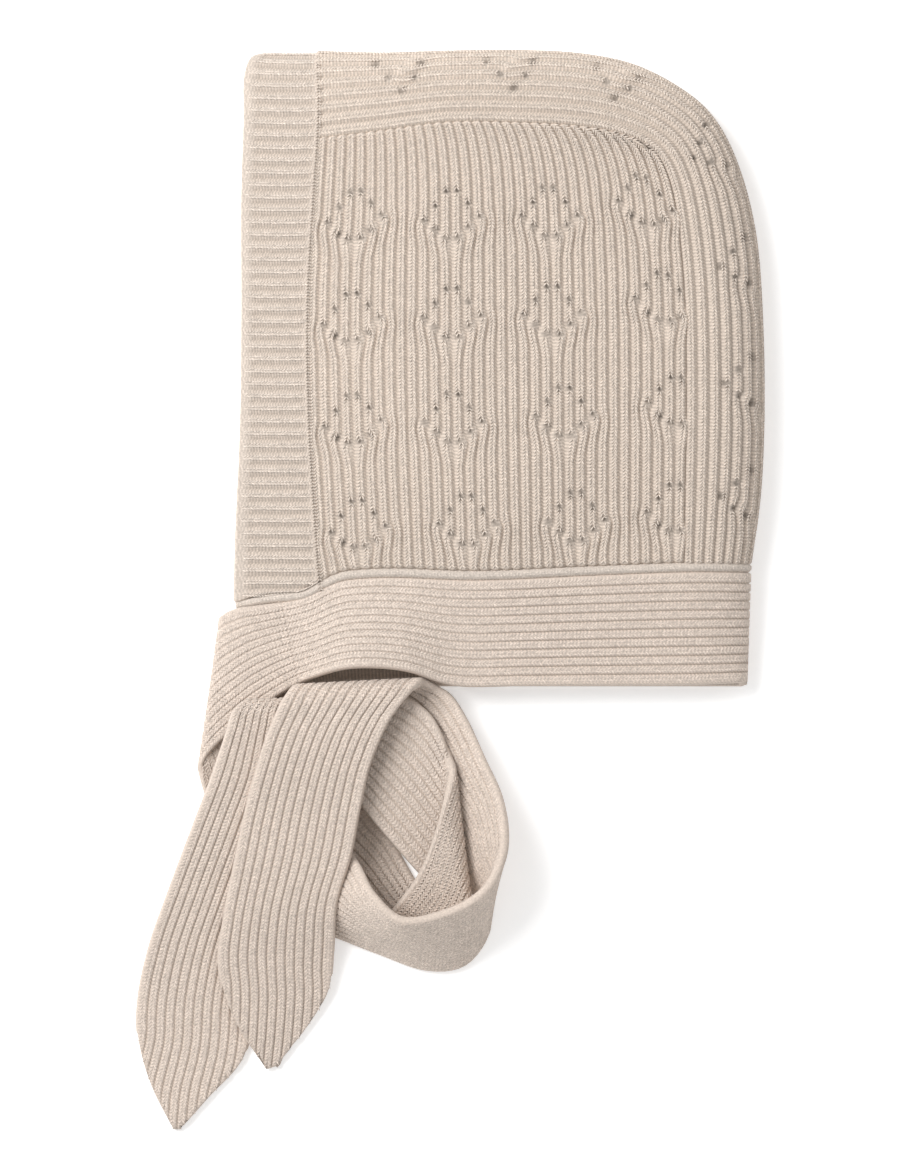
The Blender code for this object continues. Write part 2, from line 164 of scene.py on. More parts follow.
# The ties: both edges of the ribbon at each section past the neckband, in strip widths from the
# corner under the front of the neck edge, with the height of the ribbon's middle
# Columns: top_x, top_y, top_z, low_x, low_y, low_z
TIE_NEAR = (
    (0.17, -0.03, 0.30, 0.36, -0.84, 0.29),
    (0.02, -0.05, 0.30, 0.02, -1.10, 0.29),
    (-0.12, -0.14, 0.25, -0.32, -1.51, 0.25),
    (-0.06, -0.22, 0.21, -0.28, -1.75, 0.21),
    (0.20, -0.70, 0.21, -0.14, -1.92, 0.20),
    (0.56, -1.36, 0.20, 0.02, -2.22, 0.16),
    (0.97, -2.17, 0.19, 0.26, -2.74, 0.11),
    (1.14, -2.42, 0.42, 0.49, -2.98, 0.04),
    (1.27, -2.66, 0.70, 0.83, -3.04, 0.04),
    (1.53, -2.90, 0.80, 1.32, -3.22, 0.04),
    (1.82, -2.88, 0.80, 1.79, -3.38, 0.04),
    (2.17, -2.74, 0.79, 2.14, -3.32, 0.04),
    (2.38, -2.54, 0.78, 2.33, -3.02, 0.045),
    (2.48, -2.30, 0.76, 2.30, -2.80, 0.055),
    (2.50, -2.08, 0.71, 2.14, -2.56, 0.06),
    (2.45, -1.78, 0.60, 2.00, -2.28, 0.06),
    (2.31, -1.45, 0.45, 1.72, -1.98, 0.06),
    (2.14, -1.08, 0.32, 1.37, -1.54, 0.09),
    (1.97, -0.83, 0.25, 0.95, -1.18, 0.20),
    (1.83, -0.75, 0.30, 0.66, -0.87, 0.255),
    (1.74, -0.71, 0.39, 0.57, -0.77, 0.41),
    (1.68, -0.74, 0.51, 0.50, -0.82, 0.55),
    (1.44, -1.02, 0.56, 0.34, -1.14, 0.58),
    (1.24, -1.46, 0.53, 0.22, -1.50, 0.56),
    (1.15, -1.84, 0.49, 0.12, -1.86, 0.50),
    (1.06, -2.31, 0.45, 0.01, -2.37, 0.42),
    (0.92, -2.80, 0.37, -0.10, -2.92, 0.30),
    (0.89, -3.24, 0.18, -0.15, -3.34, 0.22),
    (0.85, -3.57, 0.09, -0.09, -3.64, 0.18),
    (0.66, -3.90, 0.05, 0.06, -3.98, 0.14),
    (0.37, -4.28, 0.04, 0.28, -4.31, 0.04),
)
TIE_FAR = (
    (0.22, -0.03, 0.04, 0.40, -0.84, 0.04),
    (0.12, -0.08, 0.045, 0.10, -1.16, 0.045),
    (0.04, -0.15, 0.083, -0.17, -1.50, 0.083),
    (0.10, -0.26, 0.125, -0.12, -1.76, 0.125),
    (0.36, -0.70, 0.125, 0.04, -2.04, 0.085),
    (0.77, -1.22, 0.10, 0.24, -2.36, 0.05),
    (1.18, -1.90, 0.06, 0.44, -2.52, 0.04),
    (1.45, -2.23, 0.04, 0.82, -2.88, 0.04),
    (1.72, -2.68, 0.05, 1.06, -3.00, 0.04),
    (2.04, -3.03, 0.14, 1.26, -3.06, 0.13),
    (2.13, -2.98, 0.27, 1.47, -2.84, 0.28),
    (2.15, -2.98, 0.29, 1.72, -2.50, 0.37),
    (2.17, -2.98, 0.29, 1.86, -2.14, 0.44),
    (2.18, -2.97, 0.28, 1.96, -1.76, 0.48),
    (2.18, -2.95, 0.23, 2.01, -1.54, 0.44),
    (2.08, -2.86, 0.18, 1.98, -1.42, 0.38),
    (1.82, -2.60, 0.18, 1.92, -1.24, 0.365),
    (1.50, -2.24, 0.23, 1.79, -1.02, 0.36),
    (1.18, -1.86, 0.29, 1.54, -0.86, 0.35),
    (0.78, -1.36, 0.34, 1.20, -0.88, 0.345),
    (0.40, -1.12, 0.36, 0.98, -0.91, 0.345),
    (0.16, -0.95, 0.39, 0.86, -0.91, 0.355),
    (0.09, -0.90, 0.44, 0.80, -0.88, 0.39),
    (0.00, -0.98, 0.48, 0.78, -0.93, 0.435),
    (-0.06, -1.16, 0.48, 0.78, -1.05, 0.44),
    (-0.20, -1.58, 0.46, 0.80, -1.46, 0.435),
    (-0.38, -2.05, 0.38, 0.63, -2.00, 0.38),
    (-0.62, -2.68, 0.22, 0.40, -2.66, 0.25),
    (-0.80, -3.19, 0.12, 0.22, -3.21, 0.12),
    (-0.90, -3.64, 0.06, 0.13, -3.68, 0.07),
    (-0.91, -4.02, 0.04, 0.07, -4.18, 0.04),
    (-0.77, -4.52, 0.04, -0.28, -4.60, 0.04),
    (-0.59, -4.87, 0.04, -0.52, -4.87, 0.04),
)
# Where the ties' places are counted from, as shares of the bonnet's depth and height
TIE_START = (-0.010, 0.125)


def steps(count):
    return np.linspace(0.0, 1.0, count)


def eased(knots, values, at):
    """Values at the places asked for, on a smooth curve through every row."""
    knots, values = np.asarray(knots, float), np.asarray(values, float)
    at = np.clip(at, knots[0], knots[-1])
    slopes = np.gradient(values, knots, axis=0)
    low = np.clip(np.searchsorted(knots, at, side="right") - 1, 0, len(knots) - 2)
    span = knots[low + 1] - knots[low]
    t = ((at - knots[low]) / span)[:, None]
    span = span[:, None]
    first, last = values[low], values[low + 1]
    return (
        (2 * t**3 - 3 * t**2 + 1) * first
        + (t**3 - 2 * t**2 + t) * span * slopes[low]
        + (3 * t**2 - 2 * t**3) * last
        + (t**3 - t**2) * span * slopes[low + 1]
    )


def travelled(points):
    """How far along a line each of its points lies."""
    return np.concatenate([[0.0], np.cumsum(np.linalg.norm(np.diff(points, axis=0), axis=1))])


def evenly(points, count):
    """The same line with its points spaced evenly."""
    far = travelled(points)
    at = steps(count) * far[-1]
    return np.stack([np.interp(at, far, points[:, axis]) for axis in range(points.shape[1])], axis=1)


def table(rows, *scales):
    """A table's rows with each column turned into metres by its own size."""
    return np.asarray(rows, float) * np.asarray(scales, float)


def smooth_line(points, count):
    points = np.asarray(points, float)
    return eased(travelled(points), points, steps(count) * travelled(points)[-1])


def rounded(distance, radius):
    """How much of its full height a soft folded rim has reached, from 0 at the fold to 1 inside."""
    share = np.clip(np.asarray(distance, float) / radius, 0.0, 1.0)
    return (1.0 - (1.0 - share) ** 2.4) ** (1.0 / 2.4)


def near_top(along, up, inside):
    """Height of the upper side, lower towards the face and the neck, where the bonnet is open."""
    face = 1.0 - face_sink_share * np.clip(1.0 - along / (0.5 * bonnet_depth), 0.0, 1.0) ** 2
    neck = 1.0 - neck_sink_share * np.clip(1.0 - up / (0.45 * bonnet_height), 0.0, 1.1) ** 2
    return fold_height + (pile_height * face * neck - fold_height) * rounded(inside, crown_round)


def far_under(inside):
    """Height of the underside, which lies flat on the surface except round the fold."""
    return fold_height * (1.0 - rounded(inside, floor_round))


def lie(along, up, inside, near):
    height = np.where(near, near_top(along, up, inside), far_under(inside))
    return np.stack([along, up, height], axis=-1)


def edge_line(count):
    """The rolled edge's line on the near side, from the face to the back fold."""
    return smooth_line(table(EDGE, bonnet_depth, bonnet_height), count)


def edge_up(along):
    line = edge_line(60)
    return np.interp(along, line[:, 0], line[:, 1])


def crown_lines(count):
    """The crown strip's fold line and seam line, with as many points each."""
    rows = table(CROWN, bonnet_depth, bonnet_height, bonnet_depth, bonnet_height)
    return eased(np.arange(len(rows)), rows, steps(count) * (len(rows) - 1))


def seam_part(first_row, last_row, count):
    rows = table(CROWN, bonnet_depth, bonnet_height, bonnet_depth, bonnet_height)
    at = first_row + steps(count) * (last_row - first_row)
    return eased(np.arange(len(rows)), rows, at)[:, 2:]


def coons(top, low, left, right):
    """A patch of plan points between four edges, its rows running from the top to the low edge."""
    across = steps(len(top))[None, :, None]
    down = steps(len(left))[:, None, None]
    corners = (
        (1 - across) * (1 - down) * top[0]
        + across * (1 - down) * top[-1]
        + (1 - across) * down * low[0]
        + across * down * low[-1]
    )
    return (
        (1 - down) * top[None] + down * low[None]
        + (1 - across) * left[:, None] + across * right[:, None]
        - corners
    )


def side_patch(columns, rows):
    """Plan places of a side panel, its columns running from the crown seam to the neck edge."""
    clear = edge_width / 2 + edge_gap
    top = evenly(seam_part(0, CORNER_ROW, 40), columns)
    right = evenly(seam_part(CORNER_ROW, len(CROWN) - 1, 40), rows)
    top[:, 1] -= seam_gap
    right[:, 0] += seam_overlap
    right[0] = top[-1]
    band = table(BAND, bonnet_height, bonnet_depth, bonnet_depth)
    seam = np.stack([band[:, 2], band[:, 0]], axis=1)
    seam = smooth_line(seam, 60)
    up_at_low = edge_up(band[-2, 2]) + clear
    left_up = top[0, 1] + steps(rows) * (up_at_low - top[0, 1])
    left_along = np.interp(left_up, seam[::-1, 1], seam[::-1, 0])
    left = np.stack([left_along, left_up], axis=1)
    top[:, 0] += (left[0, 0] - top[0, 0]) * (1 - steps(columns))
    low_along = left[-1, 0] + steps(columns) * (right[-1, 0] - left[-1, 0])
    low = np.stack([low_along, edge_up(low_along) + clear], axis=1)
    right[:, 1] += (low[-1, 1] - right[-1, 1]) * steps(rows)
    return coons(top, low, left, right)


def neck_sections(near):
    """The neckband's two edges from the back fold to the front corner, as rows of x, y, z, x, y, z."""
    rows = np.asarray(NECK, float)
    fine = np.concatenate([steps(60)[:-1] ** 2, np.linspace(1, len(rows) - 1, 200)])
    rows = eased(np.arange(len(rows)), rows, fine)
    top_along, low_along = rows[:, 0] * bonnet_depth, rows[:, 1] * bonnet_depth
    top = lie(top_along, edge_up(top_along) - edge_width / 2 - edge_gap, top_along[0] - top_along, near)
    low_up = rows[:, 2] * bonnet_height if near else np.zeros(len(rows))
    low = lie(low_along, low_up, low_along[0] - low_along, near)
    inwards = -strip_wall / 2 if near else strip_wall / 2
    for edge, lift in ((top, rows[:, 3]), (low, rows[:, 4])):
        settled = rounded(edge[0, 0] - edge[:, 0], floor_round)
        edge[:, 2] += inwards * settled + near * lift * strip_width
        edge[:, 0] -= strip_wall / 2 * (1 - settled)
    return np.concatenate([top, low], axis=1)


# Leaf motifs on the side panel, as shares of the bonnet's depth and height
LEAVES = (
    (0.219, 0.741), (0.398, 0.737), (0.589, 0.743), (0.775, 0.759),
    (0.209, 0.579), (0.398, 0.586), (0.603, 0.590), (0.808, 0.606),
    (0.218, 0.417), (0.412, 0.420), (0.617, 0.427), (0.821, 0.448),
    (0.232, 0.252), (0.432, 0.259), (0.631, 0.265), (0.826, 0.278),
)
# Half of a leaf's eyelets: the rib that each one opens, counted from the leaf's middle, and its
# place upwards as a share of the leaf's width
EYELETS = ((0, 0.414), (1, 0.181), (2, -0.043), (1, -0.259), (0, -0.379))
leaf_width = 0.0180
# The height of a leaf's foot and how far the ribs lean under its lower edge, as shares of its half width
leaf_foot = -0.85
leaf_lean = 0.15
eyelet_radius = 0.00095
eyelet_depth = 0.0011
# How light the ribs are painted between the stitches, as painted shade in the gaps between the legs: from 0
# for a groove's colour to 1 for a stitch's
painted_light_under_stitches = 0.45
# Where a motif sits along the centre panel, as a share of its length
CROWN_LEAVES = (0.095, 0.223, 0.352, 0.508, 0.650, 0.790, 0.920)
middle_of_bonnet = (0.0645, 0.0289)


def rib_shares(ribs):
    """Where the columns lie across a piece with this many ribs, as shares of its width."""
    inside = (np.arange(ribs)[:, None] + np.asarray(RIB_POINTS)).ravel() / ribs
    return np.append(inside, 1.0)


def at_shares(line, shares):
    """A line's points at these shares of its own length."""
    far = travelled(line)
    return np.stack([np.interp(shares * far[-1], far, values) for values in line.T], axis=1)


def over_fold(count):
    """Signed distances from the fold, as shares: 1 on the near side, 0 on the fold, -1 on the far side."""
    share = np.linspace(-1.0, 1.0, count)
    return -np.sign(share) * np.abs(share) ** 1.7


def normals_of(grid, facing):
    """Unit normals of a grid of points, turned so that the first one points up or down."""
    down = np.gradient(grid, axis=0)
    across = np.gradient(grid, axis=1)
    normals = np.cross(across, down)
    normals /= np.maximum(np.linalg.norm(normals, axis=2, keepdims=True), 1e-12)
    middle = normals[0, normals.shape[1] // 4]
    return normals if middle[2] * facing > 0 else -normals


def soft_step(share):
    share = np.clip(share, 0.0, 1.0)
    return share * share * (3.0 - 2.0 * share)


def leaf_push(sideways, upwards):
    """How far to the side the ribs start under a leaf's lower edge, all told in its half widths."""
    away = np.abs(sideways)
    inner = np.minimum(away, 1.0)
    under = leaf_foot + 0.55 * inner + 0.22 * inner**2 - upwards
    turn = 0.32 + 1.6 * (away - inner)
    begun = soft_step(under / turn + 0.5)
    gone = soft_step(under / 1.1)
    reach = np.clip(away / 0.3, 0.0, 1.0) * np.exp(-((away - inner) / 0.42) ** 2)
    return np.sign(sideways) * leaf_lean * reach * begun * (1.0 - gone)


def leaf_places(plan):
    """The row and the groove nearest to each leaf's middle on the side panel's plan."""
    grooves = plan[:, ::len(RIB_POINTS)]
    for leaf in LEAVES:
        away = np.linalg.norm(grooves - (leaf[0] * bonnet_depth, leaf[1] * bonnet_height), axis=2)
        row, groove = np.unravel_index(away.argmin(), away.shape)
        yield row, groove * len(RIB_POINTS)


def side_grid(near, ribs, rows):
    """A side panel's points, its ribs leaning in to the foot of each leaf, and the middles of its eyelets."""
    patch = side_patch(300, rows)
    shares = rib_shares(ribs)
    plan = np.array([at_shares(line, shares) for line in patch])
    moved = np.zeros(plan.shape[:2])
    eyelets = []
    for row, column in leaf_places(plan) if near else ():
        course = np.linalg.norm(plan[row + 1, column] - plan[row, column])
        sideways = (plan[..., 0] - plan[:, column, 0][:, None]) / (leaf_width / 2)
        upwards = (row - np.arange(rows))[:, None] * course / (leaf_width / 2)
        moved += leaf_width / 2 * leaf_push(sideways, upwards)
        for rib, up in EYELETS:
            crest = rib * len(RIB_POINTS) + RIB_POINTS.index(0.5)
            at = row - round(up * leaf_width / course)
            for place in (column - crest, column + crest):
                if place < plan.shape[1]:
                    eyelets.append(plan[at, place].copy())
    plan[..., 0] += moved
    inside = np.full(plan.shape[:2], crown_round)
    return lie(plan[..., 0], plan[..., 1], inside, near), eyelets


def side_holes(grid, eyelets):
    """How deep each point lies in an eyelet, from 0 to 1."""
    depth = np.zeros(grid.shape[:2])
    for eyelet in eyelets:
        away = np.linalg.norm(grid[..., :2] - eyelet, axis=2)
        depth = np.maximum(depth, np.exp(-(away / eyelet_radius) ** 2))
    return depth


def crown_grid(ribs, rows):
    """The centre panel's points and how deep each lies in an eyelet of the leaves on its fold."""
    lines = crown_lines(fine_points)
    clear = edge_width / 2
    lines[-1, 1] = edge_up(lines[-1, 0]) + clear
    lines[-1, 3] = edge_up(lines[-1, 2]) + clear
    middle = (travelled(lines[:, :2]) + travelled(lines[:, 2:])) / 2
    at = steps(rows) * middle[-1]
    lines = np.stack([np.interp(at, middle, column) for column in lines.T], axis=1)
    shares = over_fold(400)
    reach = np.linalg.norm(lines[:, 2:] - lines[:, :2], axis=1)
    grid, from_folds = [], []
    for line, width, place in zip(lines, reach, at):
        from_fold = np.abs(shares)
        plan = line[:2] + from_fold[:, None] * (line[2:] - line[:2])
        section = lie(plan[:, 0], plan[:, 1], from_fold * width, shares > 0)
        both = np.column_stack([section, from_fold * width * np.where(shares > 0, 1, -1)])
        far = travelled(section)
        wanted = rib_shares(ribs) * far[-1]
        sideways = (wanted - far[-1] / 2) / (leaf_width / 2 * 1.15)
        for motif in CROWN_LEAVES:
            upwards = (motif * middle[-1] - place) / (leaf_width / 2)
            wanted = wanted + leaf_width / 2 * leaf_push(sideways, upwards) * (np.abs(sideways) < 2.2)
        both = np.stack([np.interp(wanted, far, values) for values in both.T], axis=1)
        grid.append(both[:, :3])
        from_folds.append(both[:, 3])
    grid, from_folds = np.array(grid), np.array(from_folds)
    along = travelled(lines[:, :2])
    depth = np.zeros(grid.shape[:2])
    for motif in CROWN_LEAVES:
        for rib, upwards in EYELETS:
            for side in (-1, 1):
                away = np.hypot(
                    along[:, None] - motif * along[-1] + upwards * leaf_width,
                    from_folds - side * (0.2 + 0.235 * rib) * leaf_width,
                )
                depth = np.maximum(depth, np.exp(-(away / eyelet_radius) ** 2))
    return grid, depth


def band_grid(ribs, rows):
    """The front band's points, its ribs level across it and cut off by the rolled edge."""
    table_rows = smooth_line(table(BAND, bonnet_height, bonnet_depth, bonnet_depth), 200)
    top = table_rows[0, 0]
    lowest = edge_up(table_rows[-1, 1]) + edge_width / 2
    shares = over_fold(600)
    lines = []
    for across in steps(rows):
        face, seam = table_rows[:, 1], table_rows[:, 2]
        along_at = face + across * (seam - face)
        low = edge_up(along_at[-1]) + edge_width / 2
        up = top - np.abs(shares) * (top - lowest)
        along = np.interp(up, table_rows[::-1, 0], along_at[::-1])
        line = lie(along, up, top - up, shares > 0)
        line = at_shares(line, rib_shares(ribs))
        line[:, 1] = np.maximum(line[:, 1], low)
        lines.append(line)
    return np.array(lines)


def strip_travelled(sections):
    """How far along a strip each section lies, as the mean of its two edges."""
    moved = (np.linalg.norm(np.diff(sections[:, :3], axis=0), axis=1)
             + np.linalg.norm(np.diff(sections[:, 3:], axis=0), axis=1)) / 2
    return np.concatenate([[0.0], np.cumsum(moved)])


def strip_grid(sections, ribs, taper=None):
    """A strip's points, its ribs keeping their pitch and running off the tapered end."""
    far = strip_travelled(sections)
    at = np.linspace(0, far[-1], round(far[-1] / strip_stitch) + 1)
    sections = np.stack([np.interp(at, far, column) for column in sections.T], axis=1)
    middle = (sections[:, :3] + sections[:, 3:]) / 2
    way = sections[:, 3:] - sections[:, :3]
    width = np.linalg.norm(way, axis=1)
    way /= width[:, None]
    kept = width.copy()
    if taper is not None:
        start = np.searchsorted(at, far[-1] - taper)
        kept[start:] = kept[start]
    places = (rib_shares(ribs) - 0.5)[None, :] * kept[:, None]
    half = width[:, None] / 2
    flat = middle[:, None] + way[:, None] * places[..., None]
    cut = middle[:, None] + way[:, None] * np.clip(places, -half, half)[..., None]
    return flat, cut, np.abs(places) < half - 0.0004


def softened(sections, joint):
    """The same strip with its turn at one section spread over some millimetres."""
    far = strip_travelled(sections)
    offsets = np.linspace(-2 * joint_reach, 2 * joint_reach, 49)
    weights = np.exp(-(offsets / joint_reach) ** 2)
    weights /= weights.sum()
    share = np.exp(-((far - far[joint]) / (2 * joint_reach)) ** 4)[:, None]
    mean = np.stack([
        sum(weight * np.interp(far + offset, far, column) for offset, weight in zip(offsets, weights))
        for column in sections.T
    ], axis=1)
    return sections + share * (mean - sections)


def long_strip():
    """The sections of the near tie, the neckband and the far tie, cut from one smooth strip."""
    near_tie, far_tie = tie_sections(True, TIE_NEAR), tie_sections(False, TIE_FAR)
    band = np.concatenate([neck_sections(True)[::-1], neck_sections(False)[1:]])
    strip = np.concatenate([near_tie[::-1], band[1:], far_tie[1:]])
    first, last = len(near_tie) - 1, len(near_tie) + len(band) - 2
    strip = softened(softened(strip, first), last)
    return strip[:first + 1][::-1], strip[first:last + 1], strip[last:]


def tie_sections(near, rows):
    start = np.array([TIE_START[0] * bonnet_depth, TIE_START[1] * bonnet_height, 0.0])
    rows = table(rows, *([strip_width] * 6)) + np.concatenate([start, start])
    neck = neck_sections(near)
    rows = np.concatenate([neck[[-24, -1]], rows])
    knots = strip_travelled(rows)
    return eased(knots, rows, np.linspace(knots[1], knots[-1], 2500))


def felting(grid):
    """How much of the ribs' relief has felted away, where the near tie bends under the loop."""
    along = (grid[..., 0] - TIE_START[0] * bonnet_depth) / strip_width
    up = (grid[..., 1] - TIE_START[1] * bonnet_height) / strip_width
    return felted_share * soft_step((along - 0.9) / 0.5) * soft_step((-2.3 - up) / 0.5)


def worn_start(grid):
    """The same where a strip leaves the front of the neck, fading out by its 75th row of stitches."""
    rows = np.arange(len(grid))[:, None] * np.ones(grid.shape[1])
    return worn_share * soft_step((75 - rows) / 35)


def soft_rim(body, tops, backs, picked, push):
    """Joins an edge of the outer face to the same edge of the back by a rounded rim."""
    rim = [body.verts.new(top.co) for top in tops]
    at = np.array([top.co for top in tops])
    back = np.array([vertex.co for vertex in backs])
    fine = np.stack([np.interp(np.arange(len(tops)), picked, back[:, axis]) for axis in range(3)], axis=1)
    middle = (at + fine) / 2 + push
    for vertex, place in zip(rim, middle):
        vertex.co = place
    for place in range(len(tops) - 1):
        body.faces.new((tops[place], tops[place + 1], rim[place + 1], rim[place]))
    for place, (start, stop) in enumerate(zip(picked, picked[1:])):
        for column in range(start, stop):
            body.faces.new((rim[column], rim[column + 1], backs[place]))
        body.faces.new((rim[stop], backs[place + 1], backs[place]))
    return rim


def picks(count, step):
    picked = list(range(0, count, step))
    if picked[-1] != count - 1:
        picked.append(count - 1)
    return picked


def knit_mesh(name, grid, normals, wall, middle=False, steps_back=(4, 3), holes=None, raised=None):
    """A closed wall: its outer face on the grid, its back with fewer points, and a rounded rim."""
    outer = grid + normals * (wall / 2 if middle else 0.0)
    back = outer - normals * wall
    rows, columns = picks(grid.shape[0], steps_back[0]), picks(grid.shape[1], steps_back[1])
    body = bmesh.new()
    across = body.verts.layers.float.new("from_crest")
    course = body.verts.layers.float.new("course")
    hole = body.verts.layers.float.new("hole")
    place_in_rib = np.tile(RIB_POINTS, grid.shape[1] // len(RIB_POINTS) + 1)[:grid.shape[1]]
    staggered = 0.5 * (place_in_rib > 0.5)
    raised = np.ones(grid.shape[:2]) if raised is None else raised
    from_crest = np.abs(2 * place_in_rib - 1)[None, :] * raised
    tops = [[body.verts.new(point) for point in row] for row in outer]
    backs = [[body.verts.new(point) for point in row] for row in back[np.ix_(rows, columns)]]
    for row, line in enumerate(tops):
        for column, vertex in enumerate(line):
            vertex[across] = from_crest[row, column]
            vertex[course] = row + staggered[column]
            if holes is not None:
                vertex[hole] = holes[row, column]
    for row, line in zip(rows, backs):
        for column, vertex in zip(columns, line):
            vertex[across] = from_crest[row, column]
            vertex[course] = row + staggered[column]
    for lines in (tops, backs):
        for first, second in zip(lines, lines[1:]):
            for column in range(len(first) - 1):
                body.faces.new((first[column], first[column + 1], second[column + 1], second[column]))
    bulge = rim_bulge * wall
    for end in (0, -1):
        away = grid[end] - grid[1 if end == 0 else -2]
        if middle:
            away = away.mean(axis=0) * np.ones((len(away), 1))
        away /= np.maximum(np.linalg.norm(away, axis=1, keepdims=True), 1e-12)
        soft_rim(body, tops[end], backs[end], columns, away * bulge)
        away = grid[:, end] - grid[:, 1 if end == 0 else -2]
        length = np.linalg.norm(away, axis=1, keepdims=True)
        away = np.where(length > 1e-9, away / np.maximum(length, 1e-12), 0.0)
        soft_rim(body, [line[end] for line in tops], [line[end] for line in backs], rows, away * bulge)
    bmesh.ops.remove_doubles(body, verts=body.verts, dist=merge_distance)
    bmesh.ops.holes_fill(body, edges=[edge for edge in body.edges if edge.is_boundary])
    bmesh.ops.dissolve_degenerate(body, edges=body.edges, dist=1e-7)
    flaps = [face for face in body.faces if sum(edge.is_boundary for edge in face.edges) > 1]
    bmesh.ops.delete(body, geom=flaps, context="FACES")
    bmesh.ops.recalc_face_normals(body, faces=body.faces)
    if body.calc_volume(signed=True) < 0:
        bmesh.ops.reverse_faces(body, faces=body.faces)
    for vertex in body.verts:
        vertex.co.z = max(vertex.co.z, 0.0)
    mesh = bpy.data.meshes.new(name)
    body.to_mesh(mesh)
    body.free()
    mesh.shade_smooth()
    return mesh


def stitch_points(name, grid, normals, lift, keep, pitch, columns, spacing=stitch_length):
    """A mesh of loose points evenly along each rib, with the way each stitch runs and faces and its size."""
    places, ways, faces, sizes = [], [], [], []
    for column in columns:
        line = grid[:, column] + normals[:, column] * lift
        far = travelled(line)
        count = max(2, round(far[-1] / spacing))
        at = (np.arange(count) + 0.5) * far[-1] / count
        bend = np.linalg.norm(np.gradient(normals[:, column], axis=0), axis=1)
        bend /= np.maximum(np.linalg.norm(np.gradient(line, axis=0), axis=1), 1e-9)
        flat = keep[:, column] & (bend < 1.0 / tightest_stitched)
        both = np.column_stack([line, np.gradient(line, axis=0), normals[:, column], flat])
        both = np.stack([np.interp(at, far, values) for values in both.T], axis=1)
        both = both[(both[:, 9] > 0.5) & (both[:, 8] > lowest_facing)]
        places.append(both[:, :3])
        ways.append(both[:, 3:6])
        faces.append(both[:, 6:9])
        sizes.append(np.tile((pitch, far[-1] / count, pitch), (len(both), 1)))
    mesh = bpy.data.meshes.new(name)
    mesh.from_pydata([tuple(place) for place in np.concatenate(places)], [], [])
    for label, values in (("way", ways), ("face", faces), ("size", sizes)):
        attribute = mesh.attributes.new(label, "FLOAT_VECTOR", "POINT")
        attribute.data.foreach_set("vector", np.concatenate(values).astype(np.float32).ravel())
    return mesh


class Nodes:
    """Adds nodes to a tree, each from its type, its settings and its inputs' values or links."""

    def __init__(self, tree):
        self.tree = tree

    def add(self, kind, settings=None, **inputs):
        node = self.tree.nodes.new(kind)
        for key, value in (settings or {}).items():
            setattr(node, key, value)
        for key, value in inputs.items():
            self.give(node, key, value)
        return node

    def give(self, node, key, value):
        numbered = key[0] == "i" and key[1:].isdigit()
        socket = node.inputs[int(key[1:]) if numbered else key.replace("_", " ")]
        if isinstance(value, Value):
            value = value.socket
        if isinstance(value, bpy.types.Node):
            value = value.outputs[0]
        if isinstance(value, bpy.types.NodeSocket):
            self.tree.links.new(value, socket)
        else:
            socket.default_value = value


class Value:
    """A number in a node tree, so that its maths reads as Python."""

    def __init__(self, nodes, socket):
        self.nodes = nodes
        self.socket = socket

    def math(self, operation, *others):
        node = self.nodes.add(self.kind(), {"operation": operation})
        for place, value in enumerate((self, *others)):
            self.nodes.give(node, f"i{place}", value)
        return Value(self.nodes, node.outputs[0])

    def kind(self):
        return "ShaderNodeMath"

    def __add__(self, other):
        return self.math("ADD", other)

    def __mul__(self, other):
        return self.math("MULTIPLY", other)

    def __sub__(self, other):
        return self.math("SUBTRACT", other)

    def __truediv__(self, other):
        return self.math("DIVIDE", other)

    def __pow__(self, other):
        return self.math("POWER", other)

    def __neg__(self):
        return self.math("MULTIPLY", -1.0)

    def __rsub__(self, other):
        return -self + other

    __radd__ = __add__
    __rmul__ = __mul__


def knit_tree(name, sockets):
    """An empty modifier tree with named inputs, its nodes and the sockets that they give."""
    tree = bpy.data.node_groups.new(name, "GeometryNodeTree")
    tree.interface.new_socket("Geometry", in_out="INPUT", socket_type="NodeSocketGeometry")
    for label, kind, value in sockets:
        item = tree.interface.new_socket(label, in_out="INPUT", socket_type="NodeSocket" + kind)
        if value is not None:
            item.default_value = value
    tree.interface.new_socket("Geometry", in_out="OUTPUT", socket_type="NodeSocketGeometry")
    nodes = Nodes(tree)
    given = nodes.add("NodeGroupInput")
    return tree, nodes, given.outputs


def end_tree(nodes, geometry, material):
    realized = nodes.add("GeometryNodeRealizeInstances", Geometry=geometry)
    painted = nodes.add("GeometryNodeSetMaterial", Geometry=realized, Material=material)
    nodes.add("NodeGroupOutput", Geometry=painted)


def named(nodes, label, kind="FLOAT"):
    node = nodes.add("GeometryNodeInputNamedAttribute", {"data_type": kind}, Name=label)
    return node.outputs["Attribute"]


def rib_tree():
    """Raises ribs on a sheet and sinks its eyelets."""
    tree, nodes, given = knit_tree("ribs", (
        ("Relief", "Float", 0.001), ("Ridge", "Float", 3.0), ("Eyelet depth", "Float", 0.001),
        ("Material", "Material", None),
    ))
    from_crest = Value(nodes, named(nodes, "from_crest"))
    hole = Value(nodes, named(nodes, "hole"))
    height = 1.0 - from_crest.math("POWER", given["Ridge"])
    moved = (height - 0.5) * given["Relief"] - hole * given["Eyelet depth"]
    normal = nodes.add("GeometryNodeInputNormal")
    offset = nodes.add("ShaderNodeVectorMath", {"operation": "SCALE"}, i0=normal.outputs[0], Scale=moved)
    placed = nodes.add("GeometryNodeSetPosition", Geometry=given["Geometry"], Offset=offset)
    # The height is kept for the wool, which colours the low places darker as painted shade in the grooves
    stored = nodes.add("GeometryNodeStoreNamedAttribute", {"data_type": "FLOAT", "domain": "POINT"},
                       Geometry=placed, Name="height", Value=height)
    end_tree(nodes, stored, given["Material"])
    return tree


